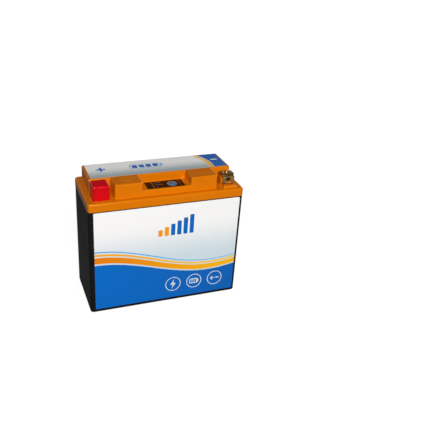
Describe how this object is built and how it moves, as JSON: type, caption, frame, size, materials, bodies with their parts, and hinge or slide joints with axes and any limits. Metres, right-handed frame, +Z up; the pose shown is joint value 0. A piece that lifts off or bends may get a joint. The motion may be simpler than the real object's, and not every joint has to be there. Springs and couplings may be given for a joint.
{
  "type": "motorcycle battery",
  "caption": "Upright rectangular motorcycle battery: black case, orange stepped lid, box terminals at the front corners, a lift-off red terminal cap and a push-button charge test panel.",
  "frame": {"origin": "middle of the base, on the surface it stands on", "axes": "+X along the length towards the negative terminal, -Y out of the labelled front, +Z up"},
  "size_m": [0.15, 0.065, 0.13],
  "materials": {
    "case_black": "moulded, satin",
    "lid_orange": "moulded, semi-gloss",
    "printed_film": "printed vinyl film",
    "panel_black": "printed polyester film",
    "button_blue": "moulded, gloss",
    "cap_red": "dip-moulded soft vinyl",
    "amber_plastic": "tinted acrylic",
    "terminal_plated": "nickel-plated brass",
    "zinc_steel": "zinc plated",
    "seal_rubber": "moulded",
    "copper_strap": "rolled copper",
    "nickel_strip": "rolled nickel",
    "cell_steel": "nickel-plated deep-drawn steel",
    "cell_sleeve": "shrink film",
    "insulating_card": "fibre card",
    "holder_plastic": "moulded",
    "circuit_board": "solder mask on glass epoxy",
    "component_black": "moulded epoxy",
    "socket_nylon": "moulded nylon",
    "ribbon_grey": "flat cable",
    "lamp_body": "lamp packages",
    "foam_grey": "closed-cell foam"
  },
  "bodies": {
    "battery": {"case": "case_black", "lid": "lid_orange", "front_label": "printed_film", "top_label": "printed_film", "test_panel": "panel_black", "light_pipes": "amber_plastic", "positive_terminal": "terminal_plated", "positive_nut": "terminal_plated", "negative_terminal": "terminal_plated", "negative_nut": "terminal_plated", "terminal_keepers": "lid_orange", "terminal_bushes": "seal_rubber", "post_nuts": "zinc_steel", "positive_lead": "copper_strap", "negative_lead": "copper_strap", "switch_body": "component_black", "indicator_board": "circuit_board", "indicator_lamps": "lamp_body", "indicator_screws": "zinc_steel", "indicator_socket": "socket_nylon", "indicator_ribbon": "ribbon_grey", "cell_1": "cell_steel", "cell_2": "cell_steel", "cell_3": "cell_steel", "cell_4": "cell_steel", "cell_5": "cell_steel", "cell_6": "cell_steel", "cell_7": "cell_steel", "cell_8": "cell_steel", "cell_sleeves": "cell_sleeve", "cell_rings": "insulating_card", "upper_holder": "holder_plastic", "lower_holder": "holder_plastic", "busbar_positive": "nickel_strip", "busbar_middle": "nickel_strip", "busbar_negative": "nickel_strip", "busbar_left": "nickel_strip", "busbar_right": "nickel_strip", "sense_strips_long": "nickel_strip", "sense_strips_short": "nickel_strip", "insulator_sheet": "insulating_card", "balance_board": "circuit_board", "board_spacers": "socket_nylon", "board_screws": "zinc_steel", "bleed_resistors": "component_black", "power_transistors": "component_black", "control_chip": "component_black", "capacitors": "component_black", "board_socket": "socket_nylon", "lower_foam": "foam_grey", "hold_down_foams": "foam_grey"},
    "test_button": {"test_button": "button_blue", "switch_plunger": "component_black"},
    "terminal_cap": {"terminal_cap": "cap_red"}
  },
  "joints": [
    {"name": "button_press", "type": "slide", "parent": "battery", "child": "test_button", "axis": [0, 0, -1], "range_m": [0, 0.0006], "stiffness_N_per_m": 1500},
    {"name": "cap_lift", "type": "slide", "parent": "battery", "child": "terminal_cap", "axis": [0, 0, 1], "range_m": [0, 0.03]}
  ]
}
